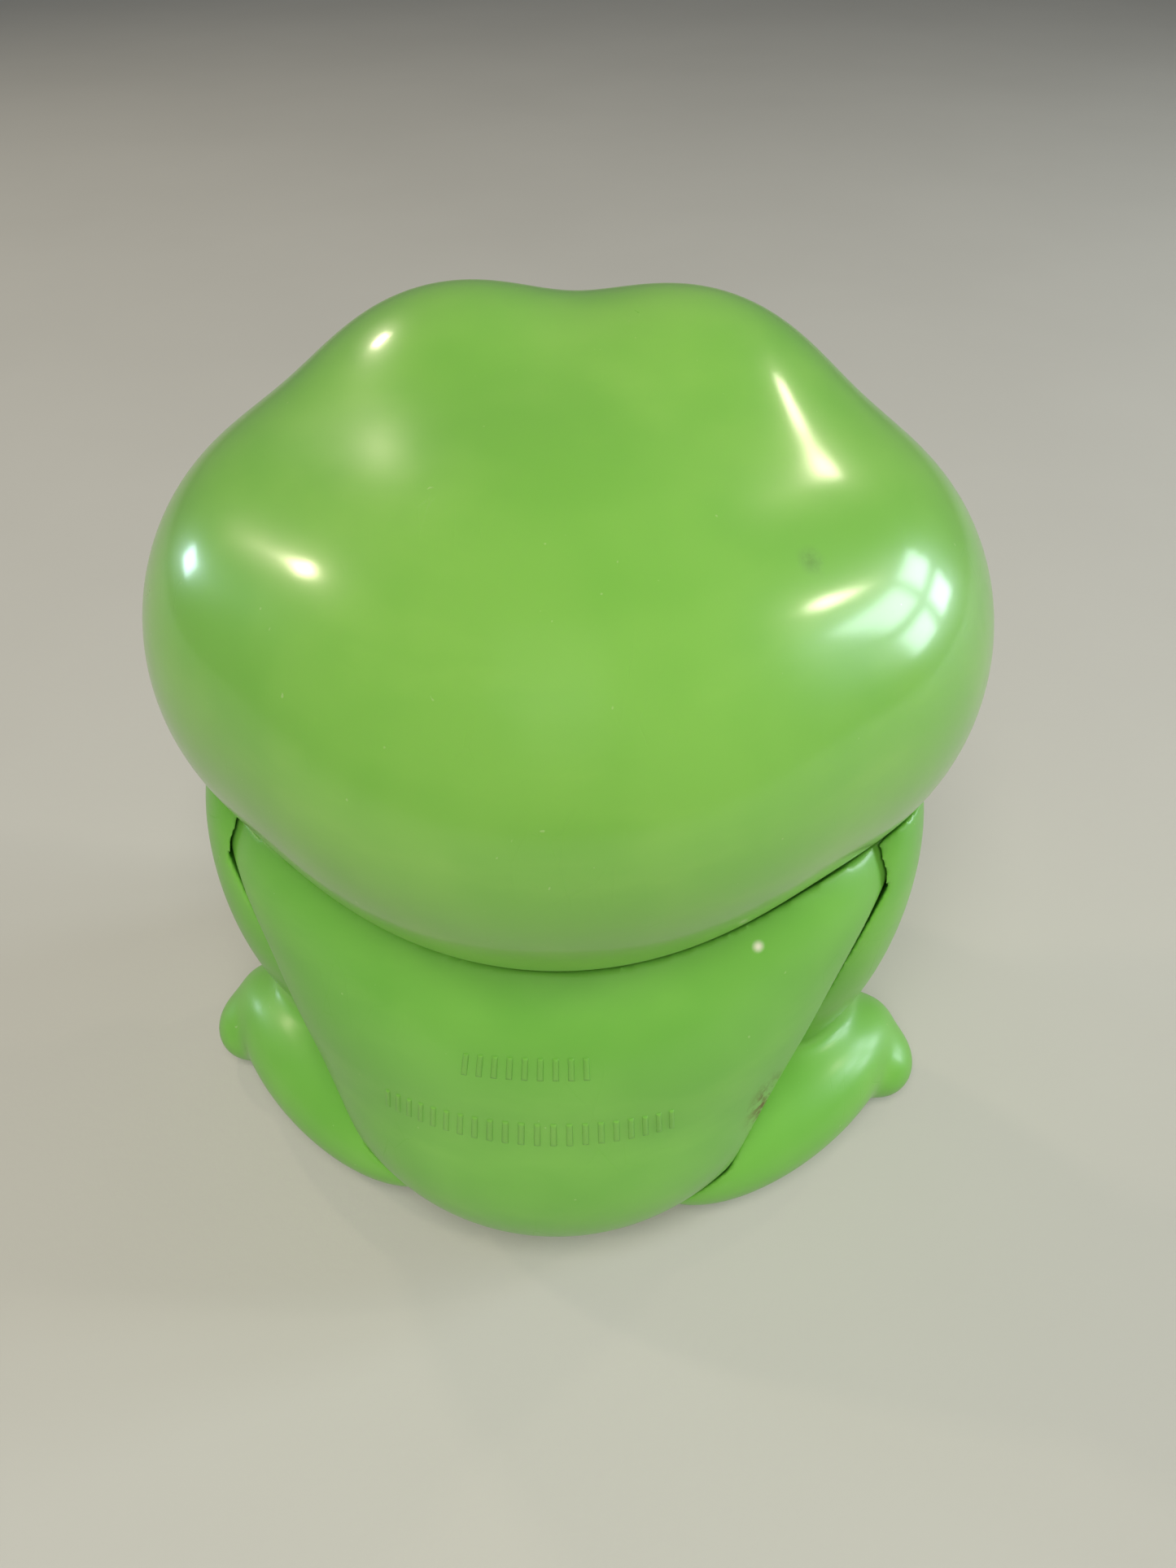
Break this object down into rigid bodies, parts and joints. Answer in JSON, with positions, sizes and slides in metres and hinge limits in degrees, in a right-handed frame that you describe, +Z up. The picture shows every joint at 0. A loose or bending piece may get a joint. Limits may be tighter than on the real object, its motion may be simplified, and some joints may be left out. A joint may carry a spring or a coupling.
{
  "type": "wind-up jumping frog",
  "caption": "Moulded plastic wind-up frog with a big rounded head, an egg-shaped body and folded hind legs that kick, driven by a spring movement inside.",
  "frame": {"origin": "on the floor under the middle of the toy's overall box", "axes": "+Z up, the frog faces -Y, +X is the frog's own left side"},
  "size_m": [0.076, 0.0655, 0.0769],
  "materials": {
    "head_green": "glossy moulded plastic",
    "face_green": "glossy moulded plastic, a lighter lime green",
    "body_green": "semi-gloss moulded plastic",
    "eye_white": "glossy moulded plastic",
    "base_plastic": "satin moulded plastic",
    "knob_plastic": "satin moulded plastic",
    "acetal": "natural acetal",
    "steel": "bright zinc-plated steel",
    "spring_steel": "blued spring steel",
    "brass": "stamped brass"
  },
  "bodies": {
    "frame": {"head_rear_shell": "head_green", "head_front_shell": "face_green", "left_eye": "eye_white", "right_eye": "eye_white", "body_rear_shell": "body_green", "body_front_shell": "body_green", "base_plate": "base_plastic", "base_screw_front": "steel", "base_screw_rear": "steel", "movement_screw_front": "steel", "movement_screw_rear": "steel", "movement_plate_left": "steel", "movement_plate_right": "steel", "pillar_front": "steel", "pillar_top": "steel", "pillar_rear": "steel", "pillar_bottom": "steel", "movement_foot_front": "acetal", "movement_foot_rear": "acetal", "mainspring": "spring_steel", "left_kick_spring": "spring_steel", "right_kick_spring": "spring_steel"},
    "kicker": {"hip_axle": "steel", "left_hind_leg": "body_green", "right_hind_leg": "body_green", "left_kick_lever": "acetal", "right_kick_lever": "acetal"},
    "main_wheel": {"main_wheel": "brass", "click_spring": "spring_steel"},
    "click": {"click": "steel"},
    "winding": {"winding_arbor": "steel", "ratchet_wheel": "steel", "winding_knob": "knob_plastic"},
    "cam_shaft": {"cam_shaft": "steel", "cam_pinion": "brass", "cam_wheel": "acetal", "left_drop_cam": "acetal", "right_drop_cam": "acetal"},
    "escape": {"escape_shaft": "steel", "escape_pinion": "brass", "star_wheel": "brass"},
    "verge": {"verge_staff": "steel", "verge": "steel"}
  },
  "joints": [
    {"name": "main_turn", "type": "hinge", "parent": "frame", "child": "main_wheel", "pos_m": [0, -0.0085, 0.025], "axis": [1, 0, 0], "continuous": true},
    {"name": "cam_turn", "type": "hinge", "parent": "frame", "child": "cam_shaft", "pos_m": [0, 0.00128, 0.02292], "axis": [1, 0, 0], "continuous": true},
    {"name": "escape_turn", "type": "hinge", "parent": "frame", "child": "escape", "pos_m": [0, 0.00944, 0.02672], "axis": [1, 0, 0], "continuous": true},
    {"name": "knob_wind", "type": "hinge", "parent": "main_wheel", "child": "winding", "pos_m": [0, -0.0085, 0.025], "axis": [1, 0, 0], "continuous": true, "deforming": ["mainspring"]},
    {"name": "click_lift", "type": "hinge", "parent": "main_wheel", "child": "click", "pos_m": [0, -0.01082, 0.03075], "axis": [1, 0, 0], "range_deg": [0, 12], "deforming": ["click_spring"]},
    {"name": "legs_kick", "type": "hinge", "parent": "frame", "child": "kicker", "pos_m": [0, -0.001, 0.0095], "axis": [-1, 0, 0], "range_deg": [0, 20], "deforming": ["left_kick_spring", "right_kick_spring"]},
    {"name": "verge_rock", "type": "hinge", "parent": "frame", "child": "verge", "pos_m": [0, 0.00992, 0.03361], "axis": [1, 0, 0], "range_deg": [-5, 5]}
  ],
  "couplings": [
    {"joint": "cam_turn", "follows": "main_turn", "ratio": -4},
    {"joint": "escape_turn", "follows": "main_turn", "ratio": 14}
  ]
}
